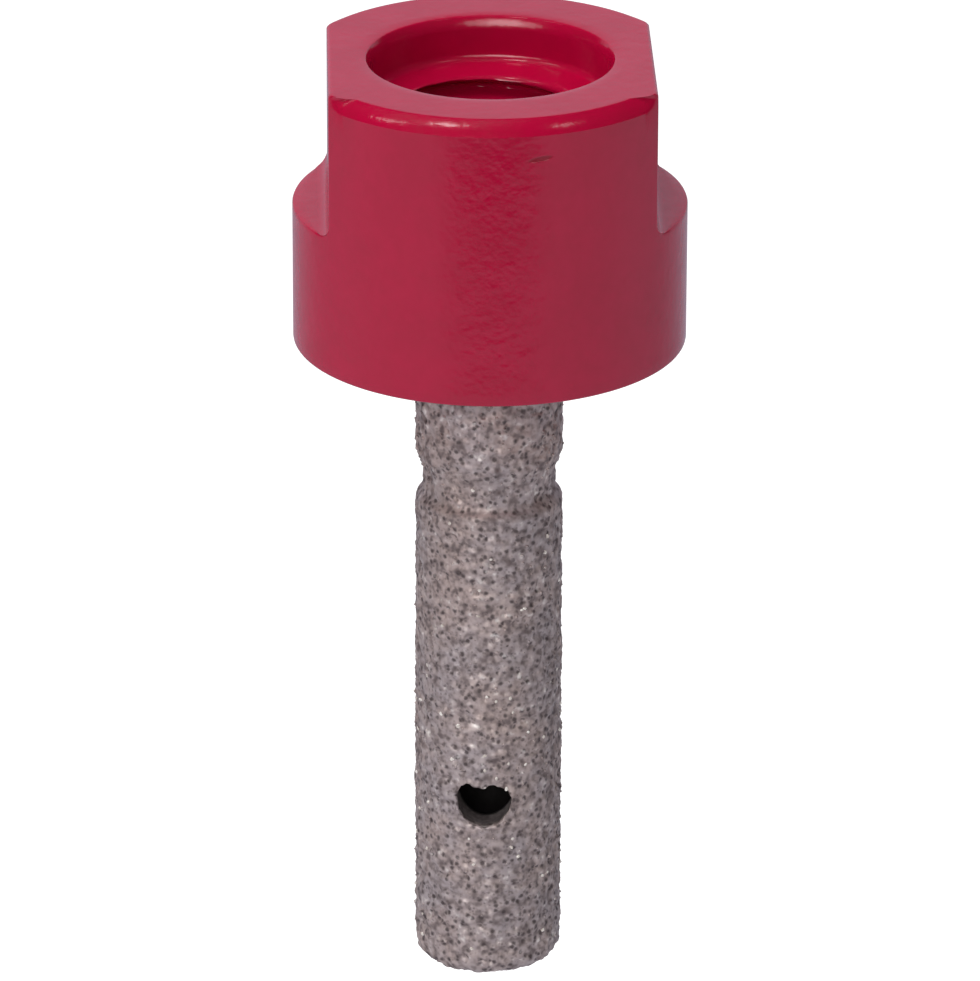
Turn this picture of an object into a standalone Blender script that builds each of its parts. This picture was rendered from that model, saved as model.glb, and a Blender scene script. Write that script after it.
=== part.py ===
"""Diamond drill bit for an angle grinder: a threaded, painted hub and a hollow core with brazed grit.

Metres, +Z up. The origin is the centre of the hub's seat face, the ring round the threaded
mouth that meets the grinder's spindle. The core hangs from the hub towards -Z.
"""

import math

import bmesh
import bpy
from mathutils import Matrix

# Hub, turned from bar and milled with two wrench flats
FLATS_ACROSS = 0.0220
COLLAR_DIAMETER = 0.0272
WRENCH_HEIGHT = 0.0104
COLLAR_HEIGHT = 0.0100
TOP_EDGE_RADIUS = 0.0010
FOOT_CHAMFER = 0.0003
WEB_THICKNESS = 0.0050

# Mouth and thread, M14 x 2, right hand
THREAD_MAJOR = 0.0140
THREAD_PITCH = 0.0020
COUNTERBORE_CLEARANCE = 0.0009
COUNTERBORE_DEPTH = 0.0031
LIP_RADIUS = 0.0006
SHOULDER_SLOPE = math.radians(12)
LEAD_IN = 0.0003
RELIEF_LENGTH = 0.0022
RELIEF_DEPTH = 0.0002

# Core tube, brazed into the hub's web
CORE_DIAMETER = 0.0088
CORE_BORE = 0.0050
CORE_TIP_RADIUS = 0.0010
BRAZE_GAP = 0.00005

# Grit coat, brazed round the core and over its end
STEM_LENGTH = 0.0472
COAT_THICKNESS = 0.0006
COAT_CLEARANCE = 0.0001
WAIST_THICKNESS = 0.00022
WAIST_FROM_HUB = 0.0084
WAIST_LENGTH = 0.0033
WAIST_BLEND = 0.0004
CROWN_EDGE_RADIUS = 0.0003

# Vent through one wall of the core, near the tip
VENT_DIAMETER = 0.0040
VENT_FROM_TIP = 0.0138
VENT_TURN = math.radians(-5.3)

HUB_FACETS = 72
STEM_FACETS = 48
THREAD_FACETS = 36

hub_height = WRENCH_HEIGHT + COLLAR_HEIGHT
bore_floor = hub_height - WEB_THICKNESS
collar_radius = COLLAR_DIAMETER / 2
major_radius = THREAD_MAJOR / 2
minor_radius = major_radius - 0.54127 * THREAD_PITCH
counterbore_radius = major_radius + COUNTERBORE_CLEARANCE
core_radius = CORE_DIAMETER / 2
bore_radius = CORE_BORE / 2
coat_inner = core_radius + BRAZE_GAP
coat_outer = coat_inner + COAT_THICKNESS
core_end = hub_height + STEM_LENGTH - COAT_THICKNESS - BRAZE_GAP


def clear_scene():
    for obj in list(bpy.data.objects):
        bpy.data.objects.remove(obj, do_unlink=True)


def paint(name, color, metallic, roughness):
    material = bpy.data.materials.new(name)
    material.use_nodes = True
    shader = material.node_tree.nodes["Principled BSDF"]
    shader.inputs["Base Color"].default_value = (*color, 1)
    shader.inputs["Metallic"].default_value = metallic
    shader.inputs["Roughness"].default_value = roughness
    material.diffuse_color = (*color, 1)
    return material


def arc(centre_r, centre_z, radius, start, end, steps):
    """Points of an arc in the (radius, z) half plane, with its angles in degrees."""
    points = []
    for i in range(steps + 1):
        angle = math.radians(start + (end - start) * i / steps)
        points.append((centre_r + radius * math.cos(angle), centre_z + radius * math.sin(angle)))
    return points


def turned(name, profile, facets, material):
    """One closed body turned about Z from a closed profile that stays clear of the axis."""
    bm = bmesh.new()
    ring = [bm.verts.new((r, 0, z)) for r, z in profile]
    edges = [bm.edges.new((a, b)) for a, b in zip(ring, ring[1:] + ring[:1])]
    bmesh.ops.spin(
        bm,
        geom=ring + edges,
        cent=(0, 0, 0),
        axis=(0, 0, 1),
        angle=math.tau,
        steps=facets,
        use_merge=True,
    )
    bmesh.ops.remove_doubles(bm, verts=bm.verts, dist=1e-6)
    bmesh.ops.recalc_face_normals(bm, faces=bm.faces)
    return finished(name, bm, material)


def finished(name, bm, material=None):
    mesh = bpy.data.meshes.new(name)
    bm.to_mesh(mesh)
    bm.free()
    obj = bpy.data.objects.new(name, mesh)
    bpy.context.scene.collection.objects.link(obj)
    if material:
        mesh.materials.append(material)
        mesh.shade_smooth()
        mesh.set_sharp_from_angle(angle=math.radians(30))
    return obj


def cut(target, cutter):
    cutter.hide_render = True
    cutter.display_type = "WIRE"
    modifier = target.modifiers.new(cutter.name, "BOOLEAN")
    modifier.operation = "DIFFERENCE"
    modifier.object = cutter


def hub_profile():
    """The hub's half section, anticlockwise, from the core's seat out to the collar and down the mouth."""
    lip = counterbore_radius + LIP_RADIUS
    shoulder = counterbore_radius - minor_radius - LEAD_IN
    shoulder_end = COUNTERBORE_DEPTH + shoulder * math.tan(SHOULDER_SLOPE)
    relief_top = bore_floor - RELIEF_LENGTH
    relief_radius = major_radius + RELIEF_DEPTH
    seat = core_radius + BRAZE_GAP
    points = [(seat, -hub_height), (collar_radius - FOOT_CHAMFER, -hub_height)]
    points += [(collar_radius, FOOT_CHAMFER - hub_height)]
    edge = collar_radius - TOP_EDGE_RADIUS
    points += arc(edge, -TOP_EDGE_RADIUS, TOP_EDGE_RADIUS, 0, 90, 6)
    points += arc(lip, -LIP_RADIUS, LIP_RADIUS, 90, 180, 6)
    points += [(counterbore_radius, -COUNTERBORE_DEPTH), (minor_radius + LEAD_IN, -shoulder_end)]
    points += [(minor_radius, -shoulder_end - LEAD_IN), (minor_radius, -relief_top)]
    points += [(relief_radius, -relief_top)]
    points += [(relief_radius, -bore_floor), (seat, -bore_floor)]
    return points


def flat_cutters():
    """The two boxes that the milling takes off, one beyond each wrench flat."""
    cutters = []
    for side in (-1, 1):
        bm = bmesh.new()
        bmesh.ops.create_cube(bm, size=1)
        depth = collar_radius
        bmesh.ops.scale(bm, vec=(depth, 3 * depth, 2 * WRENCH_HEIGHT), verts=bm.verts)
        cutter = finished("flat_cut_right" if side > 0 else "flat_cut_left", bm)
        cutter.location.x = side * (FLATS_ACROSS + depth) / 2
        cutters.append(cutter)
    return cutters


def thread_cutter():
    """A 60 degree groove swept down a right-hand helix, from the counterbore into the relief."""
    inner = minor_radius - 0.1 * THREAD_PITCH
    root = THREAD_PITCH / 16
    mouth = root + (major_radius - inner) * math.tan(math.radians(30))
    section = [(major_radius, root), (major_radius, -root), (inner, -mouth), (inner, mouth)]
    top = 1.05 * mouth - COUNTERBORE_DEPTH
    bottom = RELIEF_LENGTH / 2 - bore_floor
    steps = round((top - bottom) / THREAD_PITCH * THREAD_FACETS)
    bm = bmesh.new()
    rings = []
    for i in range(steps + 1):
        angle = -math.tau * (i + 0.31) / THREAD_FACETS
        z = top - THREAD_PITCH * i / THREAD_FACETS
        turn = Matrix.Rotation(angle, 4, "Z")
        ring = [bm.verts.new((r, 0, z + dz)) for r, dz in section]
        bmesh.ops.transform(bm, matrix=turn, verts=ring)
        rings.append(ring)
    for ring, below in zip(rings, rings[1:]):
        for i in range(4):
            j = (i + 1) % 4
            bm.faces.new((ring[i], ring[j], below[j], below[i]))
    bm.faces.new(rings[0])
    bm.faces.new(rings[-1][::-1])
    bmesh.ops.recalc_face_normals(bm, faces=bm.faces)
    return finished("thread_cut", bm)


def make_hub(parent):
    red = paint("red_paint", (0.33, 0.012, 0.035), 0.0, 0.42)
    hub = turned("threaded_hub", hub_profile(), HUB_FACETS, red)
    hub.parent = parent
    for cutter in (*flat_cutters(), thread_cutter()):
        cutter.parent = parent
        cut(hub, cutter)
    return hub


def core_profile():
    """The tube's half section in its own frame, whose origin is the centre of its upper end."""
    length = core_end - bore_floor
    points = arc(core_radius - CORE_TIP_RADIUS, CORE_TIP_RADIUS - length, CORE_TIP_RADIUS, -90, 0, 5)
    points += [(core_radius, 0), (bore_radius, 0), (bore_radius, -length)]
    return points


def make_core(parent):
    steel = paint("core_steel", (0.28, 0.28, 0.30), 1.0, 0.38)
    core = turned("core_tube", core_profile(), STEM_FACETS, steel)
    core.parent = parent
    core.location.z = -bore_floor
    return core


def coat_profile():
    """The coat's half section in its own frame, whose origin is the centre of the hub's foot."""
    corner = CORE_TIP_RADIUS + BRAZE_GAP
    outer_corner = corner + COAT_THICKNESS
    inner_end = core_end + BRAZE_GAP - hub_height
    waist = coat_inner + WAIST_THICKNESS
    waist_end = WAIST_FROM_HUB + WAIST_LENGTH
    crown = bore_radius + CROWN_EDGE_RADIUS
    points = arc(crown, CROWN_EDGE_RADIUS - STEM_LENGTH, CROWN_EDGE_RADIUS, 180, 270, 3)
    points += arc(coat_outer - outer_corner, outer_corner - STEM_LENGTH, outer_corner, -90, 0, 7)
    points += [(coat_outer, -waist_end - WAIST_BLEND), (waist, -waist_end)]
    points += [(waist, -WAIST_FROM_HUB), (coat_outer, WAIST_BLEND - WAIST_FROM_HUB)]
    points += [(coat_outer, -COAT_CLEARANCE), (coat_inner, -COAT_CLEARANCE)]
    points += arc(coat_inner - corner, corner - inner_end, corner, 0, -90, 5)
    points += [(bore_radius, -inner_end)]
    return points


def make_coat(parent):
    grit = paint("brazed_grit", (0.30, 0.26, 0.25), 0.45, 0.70)
    coat = turned("grit_coat", coat_profile(), STEM_FACETS, grit)
    coat.parent = parent
    coat.location.z = -hub_height
    return coat


def vent_cutter(parent):
    """A round bar from outside the coat to the core's axis, so it opens one wall only."""
    reach = coat_outer + COAT_THICKNESS
    bm = bmesh.new()
    bmesh.ops.create_cone(
        bm,
        cap_ends=True,
        segments=32,
        radius1=VENT_DIAMETER / 2,
        radius2=VENT_DIAMETER / 2,
        depth=reach,
    )
    lie = Matrix.Rotation(math.radians(90), 4, "X")
    bmesh.ops.transform(bm, matrix=Matrix.Translation((0, -reach / 2, 0)) @ lie, verts=bm.verts)
    cutter = finished("vent_cut", bm)
    cutter.parent = parent
    cutter.location.z = VENT_FROM_TIP - hub_height - STEM_LENGTH
    cutter.rotation_euler.z = VENT_TURN
    return cutter


def main():
    clear_scene()
    seat = bpy.data.objects.new("spindle_seat", None)
    seat.empty_display_size = 0.01
    bpy.context.scene.collection.objects.link(seat)
    make_hub(seat)
    core = make_core(seat)
    coat = make_coat(seat)
    vent = vent_cutter(seat)
    cut(core, vent)
    cut(coat, vent)


main()
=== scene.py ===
# Looks of the diamond drill bit: a red painted hub, a hollow steel core and a crust of brazed grit.
import math

import bmesh
import bpy
from mathutils import Matrix, Vector


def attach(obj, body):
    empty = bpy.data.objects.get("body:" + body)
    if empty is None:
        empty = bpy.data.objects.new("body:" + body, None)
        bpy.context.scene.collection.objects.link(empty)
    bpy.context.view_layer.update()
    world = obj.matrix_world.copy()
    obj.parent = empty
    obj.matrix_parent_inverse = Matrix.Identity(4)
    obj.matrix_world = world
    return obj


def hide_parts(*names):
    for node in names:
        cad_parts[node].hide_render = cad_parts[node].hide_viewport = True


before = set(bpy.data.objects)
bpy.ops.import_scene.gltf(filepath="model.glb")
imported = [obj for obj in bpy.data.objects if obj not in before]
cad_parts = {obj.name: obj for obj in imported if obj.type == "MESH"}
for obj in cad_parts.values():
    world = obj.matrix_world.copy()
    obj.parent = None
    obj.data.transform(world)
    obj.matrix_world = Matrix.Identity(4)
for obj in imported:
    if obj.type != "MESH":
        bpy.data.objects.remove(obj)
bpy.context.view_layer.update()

mm = 0.001


# helpers for meshes

def addPiece(name, mesh):
    piece = bpy.data.objects.new(name, mesh)
    bpy.context.scene.collection.objects.link(piece)
    return piece


def meshFrom(name, points, faces):  # points in millimetres
    mesh = bpy.data.meshes.new(name)
    mesh.from_pydata([(x * mm, y * mm, z * mm) for x, y, z in points], [], faces)
    bm = bmesh.new()
    bm.from_mesh(mesh)
    bmesh.ops.remove_doubles(bm, verts=bm.verts, dist=2e-6)
    bmesh.ops.recalc_face_normals(bm, faces=bm.faces)
    bm.to_mesh(mesh)
    bm.free()
    return mesh


def loftRings(name, rings):  # a closed skin through rings of equal length, wrapped both ways
    count = len(rings[0])
    faces = []
    for j in range(len(rings)):
        k = (j + 1) % len(rings)
        for i in range(count):
            n = (i + 1) % count
            faces.append((j * count + i, j * count + n, k * count + n, k * count + i))
    mesh = meshFrom(name, [point for ring in rings for point in ring], faces)
    mesh.shade_smooth()
    return addPiece(name, mesh)


def arcPoints(centreR, centreZ, radius, start, end, steps):  # angles in degrees
    turns = [math.radians(start + (end - start) * i / steps) for i in range(steps + 1)]
    return [(centreR + radius * math.cos(a), centreZ + radius * math.sin(a)) for a in turns]


def roundRings(profile, angles):
    return [[(r * math.cos(a), r * math.sin(a), z) for a in angles] for r, z in profile]


def turnPiece(name, profile, columns):
    return loftRings(name, roundRings(profile, [math.tau * i / columns for i in range(columns)]))


def smoothShare(t):
    return t * t * (3 - 2 * t)


def keepShape(piece):  # what the modifiers show becomes a plain mesh
    bpy.context.view_layer.update()
    shape = piece.evaluated_get(bpy.context.evaluated_depsgraph_get())
    made = bpy.data.meshes.new_from_object(shape)
    piece.modifiers.clear()
    piece.data = made
    made.name = piece.name


def declare(piece, slot, *nodes):
    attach(piece, "root")
    if nodes:
        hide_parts(*nodes)
    print(piece.name, "ready,", len(piece.data.polygons), "faces")


# helpers for node trees

def place(tree, kind, inputs=None, **settings):
    node = tree.nodes.new(kind)
    for key, value in settings.items():
        setattr(node, key, value)
    for key, value in (inputs or {}).items():
        if isinstance(value, bpy.types.NodeSocket):
            tree.links.new(value, node.inputs[key])
        else:
            node.inputs[key].default_value = value
    return node


def calc(tree, operation, *values):
    return place(tree, "ShaderNodeMath", dict(enumerate(values)), operation=operation).outputs[0]


def vectorCalc(tree, operation, inputs):
    return place(tree, "ShaderNodeVectorMath", inputs, operation=operation).outputs


def ramp(tree, value, low, high, first=0.0, last=1.0):
    inputs = {0: value, 1: low, 2: high, 3: first, 4: last}
    return place(tree, "ShaderNodeMapRange", inputs, interpolation_type="SMOOTHSTEP").outputs[0]


def blend(tree, share, first, second):
    return place(tree, "ShaderNodeMix", {0: share, 6: first, 7: second}, data_type="RGBA").outputs[2]


def noiseAt(tree, spot, size, detail):
    scale = calc(tree, "DIVIDE", 1.0, size)
    return place(tree, "ShaderNodeTexNoise", {"Vector": spot, "Scale": scale, "Detail": detail}).outputs


def openTree(name, kind, inputs, outputs):
    tree = bpy.data.node_groups.new(name, kind)
    for label, socketKind, value in inputs:
        socket = tree.interface.new_socket(label, in_out="INPUT", socket_type=socketKind)
        if value is not None:
            socket.default_value = value
    for label, socketKind in outputs:
        tree.interface.new_socket(label, in_out="OUTPUT", socket_type=socketKind)
    return tree, tree.nodes.new("NodeGroupInput").outputs, tree.nodes.new("NodeGroupOutput").inputs


def runTree(piece, tree, values):
    modifier = piece.modifiers.new(tree.name, "NODES")
    modifier.node_group = tree
    for item in tree.interface.items_tree:
        if item.in_out == "INPUT" and item.name in values:
            modifier[item.identifier] = values[item.name]
    keepShape(piece)


def endTree(tree, geometry, material, out):
    real = place(tree, "GeometryNodeRealizeInstances", {0: geometry}).outputs[0]
    dressed = place(tree, "GeometryNodeSetMaterial", {"Geometry": real, "Material": material}).outputs[0]
    tree.links.new(dressed, out[0])


def newMaterial(name):
    material = bpy.data.materials.new(name)
    material.use_nodes = True
    tree = material.node_tree
    return material, tree, tree.nodes["Principled BSDF"]


def objectSpot(tree):
    return place(tree, "ShaderNodeTexCoord").outputs["Object"]


def addBump(tree, shader, height, distance, strength):
    bump = place(tree, "ShaderNodeBump", {"Height": height, "Distance": distance, "Strength": strength})
    tree.links.new(bump.outputs[0], shader.inputs["Normal"])


# node groups that the materials share

def makeCloudsGroup():
    tree, given, out = openTree("surfaceClouds", "ShaderNodeTree", [
        ("Vector", "NodeSocketVector", None),
        ("Broad Size", "NodeSocketFloat", 0.006),
        ("Fine Size", "NodeSocketFloat", 0.0008),
        ("Fine Share", "NodeSocketFloat", 0.4),
    ], [("Clouds", "NodeSocketFloat")])
    sizes = (given["Broad Size"], given["Fine Size"])
    broad, fine = (noiseAt(tree, given["Vector"], size, 1.5)[0] for size in sizes)
    mixed = place(tree, "ShaderNodeMix", {0: given["Fine Share"], 2: broad, 3: fine})
    tree.links.new(mixed.outputs[0], out[0])
    return tree


def makePitsGroup():  # dimples of many sizes, 1 at their middle
    tree, given, out = openTree("roundPits", "ShaderNodeTree", [
        ("Vector", "NodeSocketVector", None),
        ("Spacing", "NodeSocketFloat", 0.0006),
        ("Reach", "NodeSocketFloat", 0.36),
        ("Softness", "NodeSocketFloat", 0.16),
        ("Warp", "NodeSocketFloat", 0.0001),
    ], [("Pits", "NodeSocketFloat")])
    halfSpacing = calc(tree, "MULTIPLY", given["Spacing"], 0.5)
    noise = noiseAt(tree, given["Vector"], halfSpacing, 1.0)[1]
    centred = vectorCalc(tree, "SUBTRACT", {0: noise, 1: (0.5, 0.5, 0.5)})[0]
    pushed = vectorCalc(tree, "SCALE", {0: centred, "Scale": given["Warp"]})[0]
    moved = vectorCalc(tree, "ADD", {0: given["Vector"], 1: pushed})[0]
    scale = calc(tree, "DIVIDE", 1.0, given["Spacing"])
    cells = place(tree, "ShaderNodeTexVoronoi", {"Vector": moved, "Scale": scale}).outputs["Distance"]
    core = calc(tree, "SUBTRACT", given["Reach"], given["Softness"])
    tree.links.new(ramp(tree, cells, given["Reach"], core), out[0])
    return tree


def cloudy(tree, clouds, where, sizes, share):
    inputs = {"Vector": where, "Broad Size": sizes[0], "Fine Size": sizes[1], "Fine Share": share}
    return place(tree, "ShaderNodeGroup", inputs, node_tree=clouds).outputs[0]


def pitted(tree, pits, where, values):
    inputs = {"Vector": where, **dict(zip(("Spacing", "Reach", "Softness", "Warp"), values))}
    return place(tree, "ShaderNodeGroup", inputs, node_tree=pits).outputs[0]


# materials

paintLook = {  # metres, and radians for the dent's tilt
    "thick": (0.400, 0.0012, 0.033, 1), "thin": (0.365, 0.0010, 0.029, 1), "gloss": (0.13, 0.20),
    "toneSizes": (0.004, 0.0009), "toneShare": 0.4, "contrast": (0.3, 0.7),
    "peelSizes": (0.0010, 0.00040), "peelShare": 0.35, "peelHeight": 0.000036,
    "dashPlace": (0.00297, -0.0133, -0.00267), "dashSize": (0.00105, 0.003, 0.00024), "dashTilt": 0.12,
    "dashRagged": 0.8, "dashEdge": (1.35, 0.95), "dashDepth": 0.8, "dashShadeColour": (0.230, 0.0005, 0.012, 1),
}


def paintMaterial(clouds):  # with one dash-shaped dent, as on the hub's front, coloured darker red as painted shade in the dent
    look = paintLook
    material, tree, shader = newMaterial("redPaint")
    where = objectSpot(tree)
    tone = cloudy(tree, clouds, where, look["toneSizes"], look["toneShare"])
    paint = blend(tree, ramp(tree, tone, *look["contrast"]), look["thick"], look["thin"])
    local = place(tree, "ShaderNodeMapping", {
        "Vector": where, "Location": look["dashPlace"], "Rotation": (0.0, -look["dashTilt"], 0.0),
        "Scale": look["dashSize"]}, vector_type="TEXTURE").outputs[0]
    far = vectorCalc(tree, "LENGTH", {0: local})["Value"]
    ragged = calc(tree, "ADD", far, calc(tree, "MULTIPLY", tone, look["dashRagged"]))
    dash = ramp(tree, ragged, *look["dashEdge"])
    # painted shade: the dent's darker red stands in for the shade inside it
    tree.links.new(blend(tree, dash, paint, look["dashShadeColour"]), shader.inputs["Base Color"])
    peel = cloudy(tree, clouds, where, look["peelSizes"], look["peelShare"])
    height = calc(tree, "SUBTRACT", peel, calc(tree, "MULTIPLY", dash, look["dashDepth"]))
    addBump(tree, shader, height, look["peelHeight"], 1.0)
    tree.links.new(ramp(tree, tone, *look["contrast"], *look["gloss"]), shader.inputs["Roughness"])
    return material


steelLook = {  # metres; bore is a painted shade colour, near black, for inside the bore
    "dark": (0.20, 0.165, 0.165, 1), "pale": (0.46, 0.40, 0.40, 1), "bore": (0.020, 0.015, 0.015, 1),
    "boreShadeEdge": (0.0026, 0.0030), "toneSizes": (0.003, 0.0003), "toneShare": 0.5, "contrast": (0.3, 0.7),
    "gloss": (0.40, 0.60), "metal": 0.5, "grainHeight": 0.00002, "grainStrength": 0.6,
}


def steelMaterial(clouds):  # painted shade: coloured near black inside the bore
    look = steelLook
    material, tree, shader = newMaterial("coreSteel")
    where = objectSpot(tree)
    tone = cloudy(tree, clouds, where, look["toneSizes"], look["toneShare"])
    steel = blend(tree, ramp(tree, tone, *look["contrast"]), look["dark"], look["pale"])
    flatSpot = vectorCalc(tree, "MULTIPLY", {0: where, 1: (1.0, 1.0, 0.0)})[0]
    # painted shade: the steel turns near black inside the bore's radius
    beyondShade = ramp(tree, vectorCalc(tree, "LENGTH", {0: flatSpot})["Value"], *look["boreShadeEdge"])
    tree.links.new(blend(tree, beyondShade, look["bore"], steel), shader.inputs["Base Color"])
    addBump(tree, shader, tone, look["grainHeight"], look["grainStrength"])
    tree.links.new(ramp(tree, tone, *look["contrast"], *look["gloss"]), shader.inputs["Roughness"])
    shader.inputs["Metallic"].default_value = look["metal"]
    return material


crustLook = {  # metres; pits and pores are spacing, reach, softness and warp; the dark pit colour is painted shade in them
    "warm": (0.450, 0.355, 0.332, 1), "cool": (0.405, 0.345, 0.350, 1), "shade": (0.140, 0.105, 0.104, 1),
    "pitShade": (0.065, 0.046, 0.046, 1), "speck": (0.76, 0.70, 0.67, 1),
    "tintSizes": (0.0045, 0.0012), "toneSizes": (0.0008, 0.0004), "fineShare": 0.3,
    "tintEdge": (0.34, 0.66), "shadeEdge": (0.62, 0.24), "speckEdge": (0.60, 0.80),
    "pits": (0.00056, 0.44, 0.32, 0.00016), "pores": (0.00038, 0.40, 0.34, 0.0001),
    "pitDark": 0.9, "poreDark": 0.5, "pitSunk": 0.6, "bumpHeight": 0.0001, "bumpStrength": 0.25,
    "glossEdge": (0.35, 0.65), "gloss": (0.62, 0.42), "metal": 0.3,
}


def crustMaterial(clouds, pits):
    look = crustLook
    material, tree, shader = newMaterial("gritCrust")
    where = objectSpot(tree)
    tint = cloudy(tree, clouds, where, look["tintSizes"], look["fineShare"])
    tone = cloudy(tree, clouds, where, look["toneSizes"], look["fineShare"])
    braze = blend(tree, ramp(tree, tint, *look["tintEdge"]), look["cool"], look["warm"])
    rough = blend(tree, ramp(tree, tone, *look["shadeEdge"]), braze, look["shade"])
    # painted shade: pits and pores are coloured darker where the bump sinks them
    large = calc(tree, "MULTIPLY", pitted(tree, pits, where, look["pits"]), look["pitDark"])
    small = calc(tree, "MULTIPLY", pitted(tree, pits, where, look["pores"]), look["poreDark"])
    hollow = calc(tree, "MAXIMUM", large, small)
    pitShaded = blend(tree, hollow, rough, look["pitShade"])
    speck = ramp(tree, tone, *look["speckEdge"])
    tree.links.new(blend(tree, speck, pitShaded, look["speck"]), shader.inputs["Base Color"])
    height = calc(tree, "SUBTRACT", tone, calc(tree, "MULTIPLY", hollow, look["pitSunk"]))
    addBump(tree, shader, height, look["bumpHeight"], look["bumpStrength"])
    tree.links.new(ramp(tree, tone, *look["glossEdge"], *look["gloss"]), shader.inputs["Roughness"])
    shader.inputs["Metallic"].default_value = look["metal"]
    return material


grainLook = {  # metres
    "dull": (0.60, 0.53, 0.48, 1), "bright": (0.94, 0.90, 0.87, 1), "toneSizes": (0.0012, 0.0002),
    "toneShare": 0.4, "contrast": (0.35, 0.65), "roughness": 0.22,
}


def grainMaterial(clouds):
    look = grainLook
    material, tree, shader = newMaterial("brightGrit")
    tone = cloudy(tree, clouds, objectSpot(tree), look["toneSizes"], look["toneShare"])
    facet = blend(tree, ramp(tree, tone, *look["contrast"]), look["dull"], look["bright"])
    tree.links.new(facet, shader.inputs["Base Color"])
    shader.inputs["Roughness"].default_value = look["roughness"]
    return material


# the hub: lofted from its sections, then threaded by a rule

hubSizes = {  # millimetres and degrees, with the seat face at height 0
    "acrossFlats": 22.3, "collarRadius": 13.6, "flatHeight": 10.4, "height": 20.4,
    "flatRound": 0.32, "cornerRound": 0.3, "cornerGrowth": 0.6,
    "ledgeRound": 0.15, "ledgeMost": 0.45, "ledgeBreak": 0.3, "ledgeFillet": 0.75, "filletSteps": 6,
    "footRound": 0.2, "seatRound": 0.1, "reliefRound": 0.2,
    "mouthRadius": 8.25, "mouthLow": -1.9,
    "shoulderTop": 2.68, "shoulderRound": 0.62, "shoulderSlope": 11.0,
    "threadRadius": 5.917, "threadRound": 0.42, "threadPitch": 2.0, "threadDepth": 1.083,
    "threadStart": 3.6, "threadFade": 1.0, "threadTurn": 0.45,
    "reliefTop": 13.2, "reliefRadius": 7.2, "boreFloor": 15.4, "coreSeat": 4.45,
    "flatColumns": 24, "cornerColumns": 5, "arcColumns": 40, "threadRows": 100, "shoulderRows": 9,
    "frontEdge": (0.2, 1.0), "backEdge": (0.8, 0.85), "edgeTurn": 7.5, "arcCrowding": 1.3,
    "faceShares": (0.3, 0.65, 0.93), "wallHeights": (-2.5, -5.0, -7.5, -9.3),
    "collarHeights": (-10.8, -13.5, -16.5, -19.5), "footMiddle": 9.0, "sharpAngle": 27,
    # radius, end angle and steps of each arc down an edge
    "topEdge": ((0.3, 52, 3), (3.0, 28, 6)),
    "lipEdge": ((5.5, 81, 5), (0.15, 30, 6), (1.9, 5, 9), (0.5, 0, 2)),
}


def edgePath(arcs):  # how far from the wall and how high an edge runs, from the top face to the wall
    r, z, start = 0.0, 0.0, 90.0
    points = [(r, z)]
    for radius, end, steps in arcs:
        a = math.radians(start)
        centreR, centreZ = r - radius * math.cos(a), z - radius * math.sin(a)
        points += arcPoints(centreR, centreZ, radius, start, end, steps)[1:]
        (r, z), start = points[-1], end
    return [(r - x, y) for x, y in points]


def hubQuarter(half, inset, shares):  # from a flat's middle to an arc's middle, the arc set in by an edge
    s = hubSizes
    corner, radius = s["cornerRound"] + s["cornerGrowth"] * inset, s["collarRadius"]
    first, last = shares
    edge = math.sqrt((radius - inset * first - corner) ** 2 - (half - corner) ** 2)
    turn = math.degrees(math.atan2(edge, half - corner))
    points = [(half, edge * i / s["flatColumns"]) for i in range(s["flatColumns"])]
    points += arcPoints(half - corner, edge, corner, 0, turn, s["cornerColumns"])[:-1]
    for i in range(s["arcColumns"] + 1):
        away = (90 - turn) * (i / s["arcColumns"]) ** s["arcCrowding"]
        r = radius - inset * (first + (last - first) * smoothShare(min(away / s["edgeTurn"], 1)))
        a = math.radians(turn + away)
        points.append((r * math.cos(a), r * math.sin(a)))
    return points


def hubOutline(half, inset):  # the front arc's edge is worn wide in its middle and fine at the flats
    back = hubQuarter(half, inset, hubSizes["backEdge"])
    front = hubQuarter(half, inset, hubSizes["frontEdge"])
    outline = back + [(-x, y) for x, y in reversed(back[1:-1])]
    return outline + [(-x, -y) for x, y in front] + [(x, -y) for x, y in reversed(front[1:-1])]


def shelfRings(wall):  # a fillet from each flat to its milled ledge, cut off by the collar
    s = hubSizes
    flat, radius = s["acrossFlats"] / 2, s["collarRadius"]
    fillet, steps, part = s["ledgeFillet"], s["filletSteps"], s["ledgeBreak"]
    columns = []

    def ledgeHeight(reach):
        t = min(max(reach - flat, 0) / fillet, 1)
        return fillet * (1 - math.sqrt(1 - (1 - t) ** 2)) - s["flatHeight"]

    for x, y in wall:
        a = math.atan2(y, x)
        across, start = abs(math.cos(a)), math.hypot(x, y)
        edge = min(s["ledgeRound"], s["ledgeMost"] * (radius - start))
        column = []
        for i in range(steps + 1):
            out = fillet * (1 - math.cos(math.pi * i / (2 * steps)))
            r = min(max((abs(x) + out) / max(across, 0.01), start), radius)
            column.append((r, ledgeHeight(r * across)))
        middle = (r + radius - edge) / 2
        end = ledgeHeight(radius * across)
        column += [(middle, ledgeHeight(middle * across)), (max(radius - edge, r), end)]
        column += [(radius - part * edge, end - part * edge), (radius, end - edge)]
        columns.append([(r * math.cos(a), r * math.sin(a), z) for r, z in column])
    return [list(ring) for ring in zip(*columns)]


def lowerProfile():  # down the collar, under the foot, up the core's seat and out to the thread's relief
    s = hubSizes
    radius, foot, footRound = s["collarRadius"], -s["height"], s["footRound"]
    seat, seatRound = s["coreSeat"], s["seatRound"]
    relief, reliefRound, floor = s["reliefRadius"], s["reliefRound"], -s["boreFloor"]
    profile = [(radius, z) for z in s["collarHeights"]]
    profile += arcPoints(radius - footRound, foot + footRound, footRound, 0, -90, 4)
    profile += [(s["footMiddle"], foot), (seat + seatRound, foot), (seat, foot + seatRound)]
    profile += [(seat, floor - seatRound), (seat + seatRound, floor), (relief - reliefRound, floor)]
    return profile + [(relief, floor + reliefRound), (relief, -s["reliefTop"])]


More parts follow.
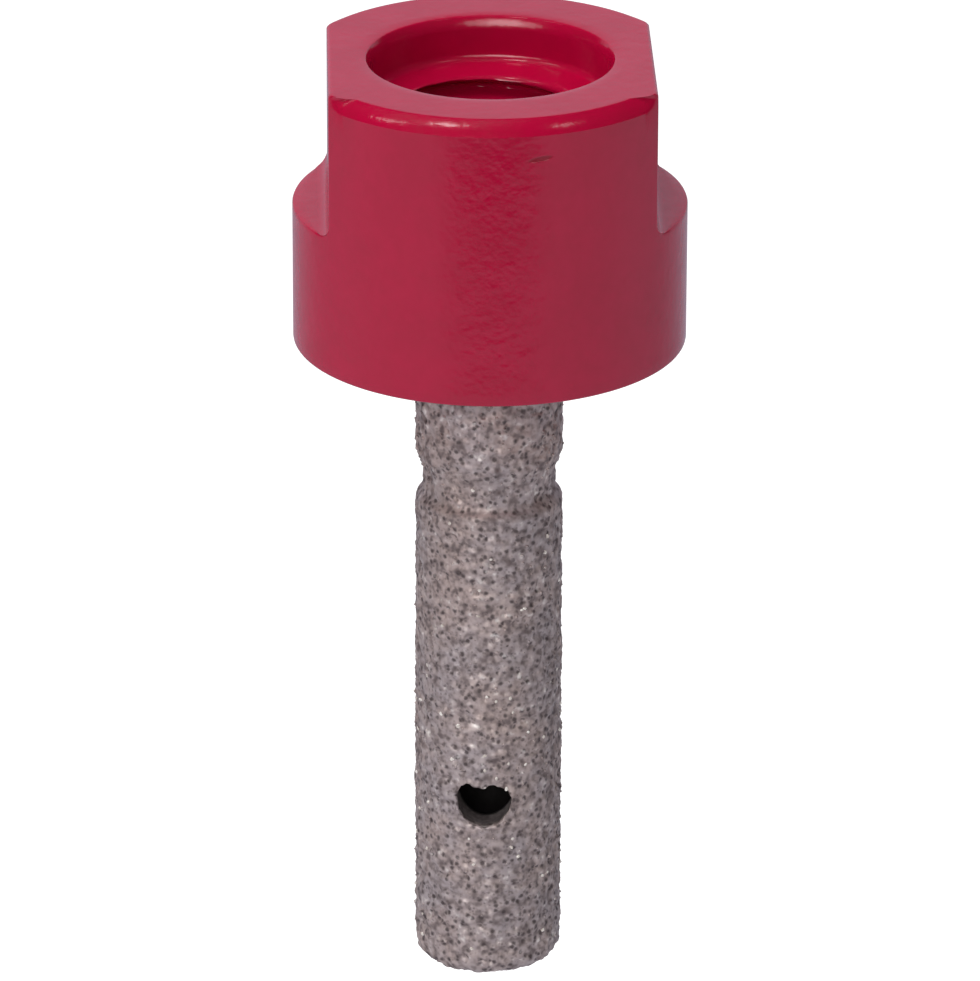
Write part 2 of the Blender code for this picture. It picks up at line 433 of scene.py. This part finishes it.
def upperProfile():  # up the bore, over its brow, out along the shoulder and up the mouth
    s = hubSizes
    bore, top, mouth, slope = s["threadRadius"], s["reliefTop"], s["mouthRadius"], s["shoulderSlope"]
    hollow, bulge, lean = s["shoulderRound"], s["threadRound"], math.radians(slope)
    shoulder = arcPoints(mouth - hollow, -s["shoulderTop"], hollow, 0, slope - 90, 8)
    outerR, outerZ = shoulder[-1]
    innerR = bore + bulge * (1 - math.sin(lean))
    innerZ = outerZ - (outerR - innerR) * math.tan(lean)
    browR, browZ = innerR + bulge * math.sin(lean), innerZ - bulge * math.cos(lean)
    brow = arcPoints(browR, browZ, bulge, 90 + slope, 180, 6)
    rowHeight = (top + brow[-1][1]) / s["threadRows"]
    profile = [(bore, rowHeight * i - top) for i in range(s["threadRows"] + 1)]
    profile += brow[-2::-1]
    for i in range(1, s["shoulderRows"]):
        t = i / s["shoulderRows"]
        profile.append((innerR + (outerR - innerR) * t, innerZ + (outerZ - innerZ) * t))
    return profile + shoulder[::-1] + [(mouth, s["mouthLow"])]


def hubRings():  # once round the section, from the mouth's lip over the outside and back up the bore
    s = hubSizes
    flat, flatRound = s["acrossFlats"] / 2, s["flatRound"]
    wall = hubOutline(flat, 0.0)
    angles = [math.atan2(y, x) for x, y in wall]
    lip = [(s["mouthRadius"] + inset, z) for inset, z in reversed(edgePath(s["lipEdge"]))]
    rings = roundRings(lip, angles)
    brim = rings[-1]
    edge = []
    for inset, z in edgePath(s["topEdge"]):  # the milled flats have a finer edge than the turned arcs
        half = flat - flatRound + math.sqrt(flatRound ** 2 - max(z + flatRound, 0) ** 2)
        edge.append([(x, y, z) for x, y in hubOutline(half, inset)])
    for share in s["faceShares"]:
        rings.append([tuple(Vector(a).lerp(Vector(b), share)) for a, b in zip(brim, edge[0])])
    rings += edge
    rings += [[(x, y, z) for x, y in wall] for z in s["wallHeights"]]
    rings += shelfRings(wall)
    return rings + roundRings(lowerProfile() + upperProfile(), angles)


def threadTree():  # presses a screw thread into the bore's points, fading in below its top
    tree, given, out = openTree("screwThread", "GeometryNodeTree", [
        ("Geometry", "NodeSocketGeometry", None),
        ("Pitch", "NodeSocketFloat", 0.002),
        ("Core Radius", "NodeSocketFloat", 0.006),
        ("Depth", "NodeSocketFloat", 0.001),
        ("Start Turn", "NodeSocketFloat", 0.0),
        ("Top", "NodeSocketFloat", -0.003),
        ("Fade", "NodeSocketFloat", 0.001),
        ("Bottom", "NodeSocketFloat", -0.013),
        ("Reach", "NodeSocketFloat", 0.0075),
        ("Paint", "NodeSocketMaterial", None),
    ], [("Geometry", "NodeSocketGeometry")])
    flank, softFlank, softness = (0.375, 0.0625), (0.41, 0.03), 0.35  # the flanks in shares of the pitch
    pitch = given["Pitch"]
    spot = place(tree, "GeometryNodeInputPosition").outputs[0]
    x, y, z = place(tree, "ShaderNodeSeparateXYZ", {0: spot}).outputs
    squares = calc(tree, "ADD", calc(tree, "MULTIPLY", x, x), calc(tree, "MULTIPLY", y, y))
    radius = calc(tree, "SQRT", squares)
    turned = calc(tree, "DIVIDE", calc(tree, "ARCTAN2", y, x), math.tau)
    turn = calc(tree, "ADD", turned, given["Start Turn"])
    lead = calc(tree, "SUBTRACT", z, calc(tree, "MULTIPLY", turn, pitch))
    half = calc(tree, "MULTIPLY", pitch, 0.5)
    offset = calc(tree, "WRAP", lead, half, calc(tree, "MULTIPLY", half, -1.0))
    share = calc(tree, "DIVIDE", calc(tree, "ABSOLUTE", offset), pitch)
    groove = place(tree, "ShaderNodeMapRange", {
        0: share, 1: flank[0], 2: flank[1], 3: 0.0, 4: 1.0}).outputs[0]
    soft = ramp(tree, share, *softFlank)
    section = place(tree, "ShaderNodeMix", {0: softness, 2: groove, 3: soft}).outputs[0]
    middle = calc(tree, "SUBTRACT", z, offset)
    started = ramp(tree, middle, given["Top"], calc(tree, "SUBTRACT", given["Top"], given["Fade"]))
    deep = calc(tree, "MULTIPLY", calc(tree, "MULTIPLY", section, started), given["Depth"])
    wanted = calc(tree, "MAXIMUM", radius, calc(tree, "ADD", given["Core Radius"], deep))
    stretch = calc(tree, "DIVIDE", wanted, radius)
    moved = place(tree, "ShaderNodeCombineXYZ", {
        0: calc(tree, "MULTIPLY", x, stretch), 1: calc(tree, "MULTIPLY", y, stretch), 2: z}).outputs[0]
    inBore = calc(tree, "LESS_THAN", radius, given["Reach"])
    inside = calc(tree, "MULTIPLY", inBore, calc(tree, "GREATER_THAN", z, given["Bottom"]))
    placed = place(tree, "GeometryNodeSetPosition", {
        "Geometry": given["Geometry"], "Selection": inside, "Position": moved}).outputs[0]
    endTree(tree, placed, given["Paint"], out)
    return tree


def makeHub(paint):
    s = hubSizes
    below, within = 1e-5, 2e-5  # metres, to take in the bore's last row and leave out the mouth's wall
    hub = loftRings("hub", hubRings())
    runTree(hub, threadTree(), {
        "Pitch": s["threadPitch"] * mm, "Core Radius": s["threadRadius"] * mm,
        "Depth": s["threadDepth"] * mm, "Start Turn": s["threadTurn"],
        "Top": -s["threadStart"] * mm, "Fade": s["threadFade"] * mm,
        "Bottom": -s["reliefTop"] * mm - below, "Reach": s["mouthRadius"] * mm - within, "Paint": paint})
    hub.data.shade_smooth()
    hub.data.set_sharp_from_angle(angle=math.radians(s["sharpAngle"]))
    declare(hub, "red_paint", "threaded_hub")


# the core tube and the crust round it

ventSizes = {  # millimetres and degrees; a ripple is its count round the hole, shift and share
    "radius": 2.0, "height": -53.8, "turn": -5.3, "columns": 64, "coreReach": (-6.0, 0.0),
    "crustReach": (-7.0, -3.0), "crustShare": 0.96, "ripples": ((5, 1, 0.014), (11, 0, 0.012)),
    "crustColumns": 120, "brow": 1.16, "lump": 0.24, "lumpWaves": ((3.4, 2.2), (2.1, 0.9)),
}
coreSizes = {  # millimetres and degrees, with the seat face at height 0
    "radius": 4.4, "bore": 2.5, "top": -15.4, "end": -66.95, "tipRound": 1.0, "topRound": 0.3,
    "rimRound": 0.2, "stations": (-60.0, -48.0, -22.0), "columns": 120, "sharpAngle": 40,
}


def ventBar(name, outline, reach):  # a prism along Y through the front wall
    count = len(outline)
    points = [(x, y, z) for y in reach for x, z in outline]
    faces = [tuple(range(count)), tuple(range(2 * count - 1, count - 1, -1))]
    faces += [(i, i + count, (i + 1) % count + count, (i + 1) % count) for i in range(count)]
    mesh = meshFrom(name, points, faces)
    turn = Matrix.Rotation(math.radians(ventSizes["turn"]), 4, "Z")
    mesh.transform(Matrix.Translation((0, 0, ventSizes["height"] * mm)) @ turn)
    return addPiece(name, mesh)


def cutVent(piece, cutter):
    modifier = piece.modifiers.new("vent", "BOOLEAN")
    modifier.operation = "DIFFERENCE"
    modifier.solver = "EXACT"
    modifier.object = cutter
    keepShape(piece)
    bpy.data.objects.remove(cutter)


def drilledOutline():
    v = ventSizes
    last = 360 * (1 - 1 / v["columns"])
    return arcPoints(0, 0, v["radius"], 0, last, v["columns"] - 1)


def raggedOutline():  # the crust narrows the hole and hangs over its upper edge in lumps
    v = ventSizes
    (broad, broadShift), (fine, fineShift) = v["lumpWaves"]
    points = []
    for i in range(v["crustColumns"]):
        a = math.tau * i / v["crustColumns"]
        share = v["crustShare"]
        for count, shift, height in v["ripples"]:
            share += height * math.sin(count * a + shift)
        x, z = v["radius"] * share * math.cos(a), v["radius"] * share * math.sin(a)
        lumps = v["lump"] * math.sin(broad * x + broadShift) * abs(math.sin(fine * x + fineShift))
        points.append((x, min(z, v["brow"] - lumps)))
    return points


def makeCore(steel):
    s = coreSizes
    corner, radius, bore, top, end = s["tipRound"], s["radius"], s["bore"], s["top"], s["end"]
    topRound, rimRound = s["topRound"], s["rimRound"]
    profile = arcPoints(radius - corner, end + corner, corner, -90, 0, 8)
    profile += [(radius, z) for z in s["stations"]]
    profile += arcPoints(radius - topRound, top - topRound, topRound, 0, 90, 4)
    profile += arcPoints(bore + topRound, top - topRound, topRound, 90, 180, 4)
    profile += [(bore, z) for z in reversed(s["stations"])]
    profile += arcPoints(bore + rimRound, end + rimRound, rimRound, 180, 270, 3)
    core = turnPiece("coreTube", profile, s["columns"])
    cutVent(core, ventBar("ventBar", drilledOutline(), ventSizes["coreReach"]))
    core.data.materials.clear()
    core.data.materials.append(steel)
    core.data.shade_smooth()
    core.data.set_sharp_from_angle(angle=math.radians(s["sharpAngle"]))
    declare(core, "core_steel", "core_tube")


crustSizes = {  # millimetres, with the seat face at height 0
    "inner": 4.45, "outer": 5.11, "top": -20.5, "end": -67.42, "bore": 2.5,
    "topRound": 0.1, "tipRound": 1.25, "rimRound": 0.3, "innerCorner": 1.05, "crownThickness": 0.5,
    "waistTop": -30.4, "waistEnd": -31.6, "waist": 4.60, "waistBlends": (1.9, 0.8),
    "columns": 212, "row": 0.145, "leastRow": 0.05,
    "lumpSize": 1.5, "lumpHeight": 0.30, "gritSize": 0.50, "gritHeight": 0.34,
    "pitSpacing": 0.64, "pitDepth": 0.17, "facesOutFrom": 3.0,
}


def crustProfile():
    s = crustSizes
    inner, outer, z, row, tipRound = s["inner"], s["outer"], s["top"], s["row"], s["tipRound"]
    profile = [(inner, z), (outer - s["topRound"], z), (outer, z - s["topRound"])]
    stop = s["end"] + tipRound
    while z - row > stop:
        z -= row
        away = max((z - s["waistTop"]) / s["waistBlends"][0], (s["waistEnd"] - z) / s["waistBlends"][1])
        share = smoothShare(min(max(away, 0.0), 1.0))
        profile.append((s["waist"] + (outer - s["waist"]) * share, z))
    steps = round(tipRound * math.pi / 2 / row)
    profile += arcPoints(outer - tipRound, stop, tipRound, 0, -90, steps)
    inward = s["bore"] + s["rimRound"]
    r = outer - tipRound - row
    while r > inward + s["leastRow"]:
        profile.append((r, s["end"]))
        r -= row
    profile += arcPoints(inward, s["end"] + s["rimRound"], s["rimRound"], 270, 180, 3)
    corner, floor = s["innerCorner"], s["end"] + s["crownThickness"]
    profile.append((s["bore"], floor))
    return profile + arcPoints(inner - corner, floor + corner, corner, -90, 0, 5)


def outwardFaces(tree, limit):  # true on the outer skin, not in the bore or the vent
    spot = place(tree, "GeometryNodeInputPosition").outputs[0]
    normal = place(tree, "GeometryNodeInputNormal").outputs[0]
    lean = vectorCalc(tree, "DOT_PRODUCT", {0: spot, 1: normal})["Value"]
    return spot, normal, calc(tree, "GREATER_THAN", lean, limit)


def crustTree():
    tree, given, out = openTree("brazedCrust", "GeometryNodeTree", [
        ("Geometry", "NodeSocketGeometry", None),
        ("Lump Size", "NodeSocketFloat", 0.0012),
        ("Lump Height", "NodeSocketFloat", 0.0001),
        ("Grit Size", "NodeSocketFloat", 0.0004),
        ("Grit Height", "NodeSocketFloat", 0.00006),
        ("Pit Spacing", "NodeSocketFloat", 0.0006),
        ("Pit Depth", "NodeSocketFloat", 0.0001),
        ("Faces Out From", "NodeSocketFloat", 0.003),
        ("Crust", "NodeSocketMaterial", None),
    ], [("Geometry", "NodeSocketGeometry")])
    pitEdge = (0.44, 0.10)  # where a pit starts and where it is deepest, in shares of its spacing
    spot, normal, outward = outwardFaces(tree, given["Faces Out From"])
    parts = []
    for size, height in (("Lump Size", "Lump Height"), ("Grit Size", "Grit Height")):
        swell = calc(tree, "SUBTRACT", noiseAt(tree, spot, given[size], 1.0)[0], 0.5)
        parts.append(calc(tree, "MULTIPLY", swell, given[height]))
    scale = calc(tree, "DIVIDE", 1.0, given["Pit Spacing"])
    cells = place(tree, "ShaderNodeTexVoronoi", {"Vector": spot, "Scale": scale}).outputs["Distance"]
    sunk = calc(tree, "MULTIPLY", ramp(tree, cells, *pitEdge), given["Pit Depth"])
    rise = calc(tree, "SUBTRACT", calc(tree, "ADD", *parts), sunk)
    offset = vectorCalc(tree, "SCALE", {0: normal, "Scale": rise})[0]
    placed = place(tree, "GeometryNodeSetPosition", {
        "Geometry": given["Geometry"], "Selection": outward, "Offset": offset}).outputs[0]
    endTree(tree, placed, given["Crust"], out)
    return tree


def makeCoat(crust):
    s = crustSizes
    coat = turnPiece("gritCoat", crustProfile(), s["columns"])
    cutVent(coat, ventBar("ventGap", raggedOutline(), ventSizes["crustReach"]))
    runTree(coat, crustTree(), {
        "Lump Size": s["lumpSize"] * mm, "Lump Height": s["lumpHeight"] * mm,
        "Grit Size": s["gritSize"] * mm, "Grit Height": s["gritHeight"] * mm,
        "Pit Spacing": s["pitSpacing"] * mm, "Pit Depth": s["pitDepth"] * mm,
        "Faces Out From": s["facesOutFrom"] * mm, "Crust": crust})
    coat.data.shade_smooth()
    declare(coat, "brazed_grit", "grit_coat")
    return coat


# grains on a square metre, share left near the hub, half widths in millimetres, seed and if smooth
grainKinds = {
    "boundGrit": (1.8e6, 1.0, 0.08, 0.18, 3, True),
    "brightGrit": (0.34e6, 0.12, 0.10, 0.21, 11, False),
}
grainSunk = 0.4  # of the smallest half width


def grainTree():
    tree, given, out = openTree("scatteredGrains", "GeometryNodeTree", [
        ("Geometry", "NodeSocketGeometry", None),
        ("Density", "NodeSocketFloat", 1e6),
        ("Upper Share", "NodeSocketFloat", 1.0),
        ("Rich Below", "NodeSocketFloat", -0.045),
        ("Poor Above", "NodeSocketFloat", -0.025),
        ("Lowest", "NodeSocketFloat", -0.066),
        ("Smallest", "NodeSocketFloat", 0.0001),
        ("Largest", "NodeSocketFloat", 0.0002),
        ("Sunk", "NodeSocketFloat", 0.00004),
        ("Faces Out From", "NodeSocketFloat", 0.003),
        ("Cluster Size", "NodeSocketFloat", 0.0022),
        ("Seed", "NodeSocketInt", 0),
        ("Smooth", "NodeSocketBool", False),
        ("Grain", "NodeSocketMaterial", None),
    ], [("Geometry", "NodeSocketGeometry")])
    clusterEdge, sparse = (0.40, 0.62), 0.25
    spot, _, outward = outwardFaces(tree, given["Faces Out From"])
    z = place(tree, "ShaderNodeSeparateXYZ", {0: spot}).outputs[2]
    chosen = calc(tree, "MULTIPLY", outward, calc(tree, "GREATER_THAN", z, given["Lowest"]))
    low = ramp(tree, z, given["Rich Below"], given["Poor Above"], 1.0, given["Upper Share"])
    clusters = ramp(tree, noiseAt(tree, spot, given["Cluster Size"], 0.0)[0], *clusterEdge, sparse, 1.0)
    share = calc(tree, "MULTIPLY", low, clusters)
    spread = place(tree, "GeometryNodeDistributePointsOnFaces", {
        "Mesh": given["Geometry"], "Selection": chosen, "Seed": given["Seed"],
        "Density": calc(tree, "MULTIPLY", given["Density"], share)}).outputs
    inward = calc(tree, "MULTIPLY", given["Sunk"], -1.0)
    sink = vectorCalc(tree, "SCALE", {0: spread["Normal"], "Scale": inward})[0]
    seated = place(tree, "GeometryNodeSetPosition", {
        "Geometry": spread["Points"], "Offset": sink}).outputs[0]
    ball = place(tree, "GeometryNodeMeshIcoSphere", {"Radius": 1.0, "Subdivisions": 1}).outputs[0]
    shape = place(tree, "GeometryNodeSetShadeSmooth", {
        "Geometry": ball, "Shade Smooth": given["Smooth"]}).outputs[0]
    turn = place(tree, "FunctionNodeRandomValue", {
        0: (0.0, 0.0, 0.0), 1: (math.tau, math.tau, math.tau),
        "Seed": given["Seed"]}, data_type="FLOAT_VECTOR").outputs[0]
    least, most = (place(tree, "ShaderNodeCombineXYZ", {0: given[k], 1: given[k], 2: given[k]}).outputs[0]
                   for k in ("Smallest", "Largest"))
    nextSeed = calc(tree, "ADD", given["Seed"], 1)
    size = place(tree, "FunctionNodeRandomValue", {
        0: least, 1: most, "Seed": nextSeed}, data_type="FLOAT_VECTOR").outputs[0]
    grains = place(tree, "GeometryNodeInstanceOnPoints", {
        "Points": seated, "Instance": shape, "Rotation": turn, "Scale": size}).outputs[0]
    endTree(tree, grains, given["Grain"], out)
    return tree


def makeGrains(coat, materials):
    tree = grainTree()
    for (name, values), material in zip(grainKinds.items(), materials):
        density, upper, smallest, largest, seed, smooth = values
        grit = addPiece(name, coat.data.copy())
        runTree(grit, tree, {
            "Density": density, "Upper Share": upper, "Smallest": smallest * mm, "Largest": largest * mm,
            "Sunk": grainSunk * smallest * mm, "Seed": seed, "Smooth": smooth, "Grain": material})
        declare(grit, "brazed_grit")


# floor, lights and camera

stageLook = {  # metres; the floor and the room have levels of their own where the paint mirrors them
    "floorHeight": -0.19, "floorSize": 6.0, "floorColour": (0.78, 0.78, 0.78, 1), "floorRoughness": 0.9,
    "floorGlow": 0.62, "mirrored": 0.62, "mirroredBehind": 0.42, "behindFrom": (-0.10, 0.25),
    "frontEnd": (-0.475, -0.52), "frontGap": (0.20, 0.42),
    "ambient": 0.46, "backdrop": 0.52, "darkRoom": 0.0, "coolRoom": (0.97, 0.97, 1.18, 1),
    "overhead": (0.78, 0.46), "behind": (0.45, 0.70),
}


def makeStage():
    look = stageLook
    h, z = look["floorSize"] / 2, look["floorHeight"]
    mesh = bpy.data.meshes.new("floor")
    mesh.from_pydata([(-h, -h, z), (h, -h, z), (h, h, z), (-h, h, z)], [], [(0, 1, 2, 3)])
    floor = addPiece("floor", mesh)
    material, tree, shader = newMaterial("paleFloor")
    shader.inputs["Base Color"].default_value = look["floorColour"]
    shader.inputs["Roughness"].default_value = look["floorRoughness"]
    ray = place(tree, "ShaderNodeLightPath").outputs
    seen = calc(tree, "MAXIMUM", ray["Is Camera Ray"], ray["Is Transmission Ray"])
    level = calc(tree, "MULTIPLY", seen, look["floorGlow"])
    glow = place(tree, "ShaderNodeEmission", {1: level}).outputs[0]
    lit = place(tree, "ShaderNodeAddShader", {0: shader.outputs[0], 1: glow}).outputs[0]
    x, y, _ = place(tree, "ShaderNodeSeparateXYZ", {0: objectSpot(tree)}).outputs
    ahead = ramp(tree, y, *look["frontEnd"])
    middle = ramp(tree, calc(tree, "ABSOLUTE", x), *look["frontGap"], 1.0, 0.0)
    dark = calc(tree, "MULTIPLY", ahead, middle)
    pale = ramp(tree, y, *look["behindFrom"], look["mirrored"], look["mirroredBehind"])
    level = ramp(tree, dark, 0.0, 1.0, pale, look["darkRoom"])
    mirrored = place(tree, "ShaderNodeEmission", {0: look["coolRoom"], 1: level}).outputs[0]
    shown = place(tree, "ShaderNodeMixShader", {0: ray["Is Glossy Ray"], 1: lit, 2: mirrored}).outputs[0]
    back = place(tree, "ShaderNodeNewGeometry").outputs["Backfacing"]
    clear = place(tree, "ShaderNodeBsdfTransparent").outputs[0]
    both = place(tree, "ShaderNodeMixShader", {0: back, 1: shown, 2: clear}).outputs[0]
    tree.links.new(both, tree.nodes["Material Output"].inputs["Surface"])
    mesh.materials.append(material)


def makeWorld():
    look = stageLook
    world = bpy.data.worlds.new("studio")
    bpy.context.scene.world = world
    world.use_nodes = True
    tree = world.node_tree
    tree.nodes.clear()
    ray = place(tree, "ShaderNodeLightPath").outputs
    direction = place(tree, "ShaderNodeTexCoord").outputs["Generated"]
    _, y, z = place(tree, "ShaderNodeSeparateXYZ", {0: direction}).outputs
    pale = calc(tree, "MULTIPLY", ramp(tree, z, *look["overhead"]), ramp(tree, y, *look["behind"]))
    level = ramp(tree, pale, 0.0, 1.0, look["darkRoom"], look["backdrop"])
    seen = calc(tree, "MAXIMUM", ray["Is Camera Ray"], ray["Is Transmission Ray"])
    white = {0: (1, 1, 1, 1)}
    room = place(tree, "ShaderNodeBackground", {**white, 1: look["ambient"]}).outputs[0]
    gloss = place(tree, "ShaderNodeBackground", {0: look["coolRoom"], 1: level}).outputs[0]
    shown = place(tree, "ShaderNodeBackground", {**white, 1: 1.0}).outputs[0]
    first = place(tree, "ShaderNodeMixShader", {0: ray["Is Glossy Ray"], 1: room, 2: gloss}).outputs[0]
    both = place(tree, "ShaderNodeMixShader", {0: seen, 1: first, 2: shown}).outputs[0]
    place(tree, "ShaderNodeOutputWorld", {"Surface": both})


lampPlaces = {  # start and end in metres, width, level where 1 is white, and if the lamp is only mirrored
    "frontFill": ((-0.61, -0.42, 0.27), (-0.07, -0.66, 0.27), 0.25, 3.5, False),
    "topFill": ((-0.50, -0.05, 0.58), (0.15, -0.05, 0.62), 0.40, 3.9, False),
    "mouthGlow": ((-0.55, -0.50, 0.165), (0.30, -0.58, 0.165), 0.35, 2.6, True),
    "mouthCard": ((-0.31, -0.49, 0.145), (0.05, -0.53, 0.145), 0.24, 2.9, True),
    "leftStrip": ((-0.098, -0.182, 0.456), (-0.21, -0.167, 0.428), 0.055, 15.0, True),
    "farStrip": ((-0.29, -0.15, 0.375), (-0.385, -0.06, 0.32), 0.05, 4.6, True),
    "rightStrip": ((0.22, -0.205, 0.40), (0.295, -0.16, 0.37), 0.05, 4.0, True),
}
lampTarget = (0, 0, -0.01)


def makeLamp(name, start, end, width, level, mirrors):
    start, end = Vector(start), Vector(end)
    middle = (start + end) / 2
    away = (middle - Vector(lampTarget)).normalized()
    along = (end - start) - away * away.dot(end - start)
    length = along.length
    along.normalize()
    across = away.cross(along)
    area = length * width * (math.pi / 4 if mirrors else 1.0)
    data = bpy.data.lights.new(name, "AREA")
    data.shape = "ELLIPSE" if mirrors else "RECTANGLE"
    data.size, data.size_y = length, width
    data.energy = level * math.pi * area
    lamp = addPiece(name, data)
    turn = Matrix((along, across, away)).transposed().to_4x4()
    lamp.matrix_world = Matrix.Translation(middle) @ turn
    lamp.visible_camera = False
    lamp.visible_glossy = mirrors
    lamp.visible_diffuse = not mirrors


cameraView = {  # metres, with the roll in degrees and the lens in millimetres
    "place": (-0.013938, -0.515086, 0.181915), "target": (0.000063, 0.0, -0.032133), "roll": 0.1809,
    "lens": 293.31, "clip": (0.01, 20),
}


def makeCamera():
    view = cameraView
    data = bpy.data.cameras.new("photoCamera")
    data.lens = view["lens"]
    data.clip_start, data.clip_end = view["clip"]
    camera = addPiece("photoCamera", data)
    where, target = Vector(view["place"]), Vector(view["target"])
    turn = (target - where).to_track_quat("-Z", "Y").to_matrix().to_4x4()
    roll = Matrix.Rotation(math.radians(view["roll"]), 4, "Z")
    camera.matrix_world = Matrix.Translation(where) @ turn @ roll
    bpy.context.scene.camera = camera


clouds = makeCloudsGroup()
pits = makePitsGroup()
redPaint = paintMaterial(clouds)
coreSteel = steelMaterial(clouds)
gritCrust = crustMaterial(clouds, pits)
brightGrit = grainMaterial(clouds)
print("materials ready")
makeHub(redPaint)
makeCore(coreSteel)
coat = makeCoat(gritCrust)
makeGrains(coat, (gritCrust, brightGrit))
makeStage()
makeWorld()
for name, values in lampPlaces.items():
    makeLamp(name, *values)
makeCamera()
print("stage ready")
bpy.context.scene.view_settings.view_transform = "Standard"
print("scene ready")
